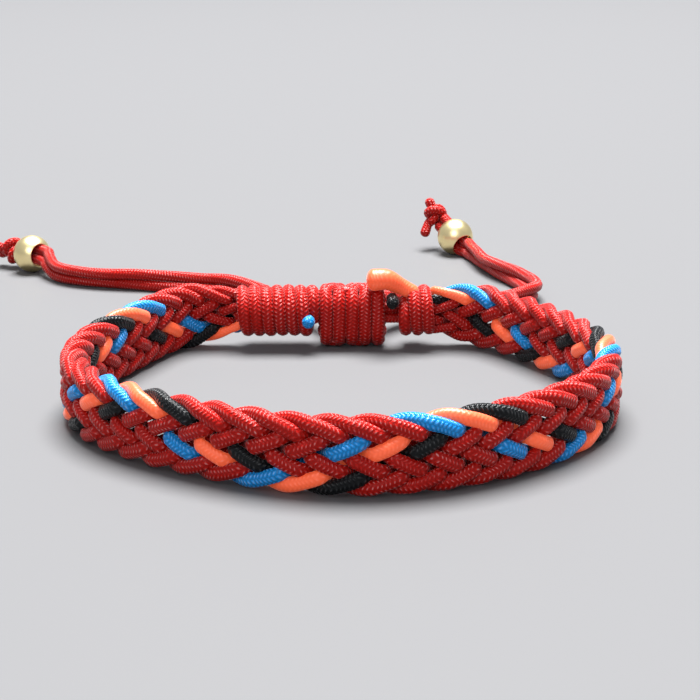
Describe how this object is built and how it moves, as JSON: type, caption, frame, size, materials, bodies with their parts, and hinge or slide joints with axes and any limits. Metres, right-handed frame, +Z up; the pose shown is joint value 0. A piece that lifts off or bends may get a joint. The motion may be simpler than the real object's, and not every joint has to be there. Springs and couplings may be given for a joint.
{
  "type": "friendship bracelet",
  "caption": "Flat plaited cord bracelet lying on its edge, with whipped ends, a sliding knot and loose tails that end in gold beads.",
  "frame": {"origin": "on the surface that the bracelet lies on, under the middle of the loop and its closure, measured without the loose tails and their beads and end knots", "axes": "+Z up, along the wrist's way in; +X to the right as the picture sees it; -Y towards the viewer, with the closure at the back, +Y"},
  "size_m": [0.0811, 0.1093, 0.0102],
  "materials": {
    "cord_red": "braided nylon cord, deep red with a soft sheen",
    "cord_blue": "braided nylon cord, bright blue",
    "cord_orange": "smooth nylon cord, light neon orange",
    "cord_black": "braided nylon cord, black",
    "bead_gold": "polished gold-coloured metal"
  },
  "bodies": {
    "root": {"strand_blue": "cord_blue", "strand_orange": "cord_orange", "strand_black": "cord_black", "strand_red_1": "cord_red", "strand_red_2": "cord_red", "strand_red_3": "cord_red", "strand_red_4": "cord_red", "strand_red_5": "cord_red", "strand_red_6": "cord_red", "whipping_left": "cord_red", "whipping_right": "cord_red", "sliding_knot": "cord_red", "tie_left": "cord_red", "tie_right": "cord_red", "stub_blue": "cord_blue", "stub_orange": "cord_orange", "stub_black": "cord_black", "tail_left": "cord_red", "tail_right": "cord_red", "bead_left": "bead_gold", "bead_right": "bead_gold", "end_knot_left": "cord_red", "end_knot_right": "cord_red"}
  },
  "joints": []
}
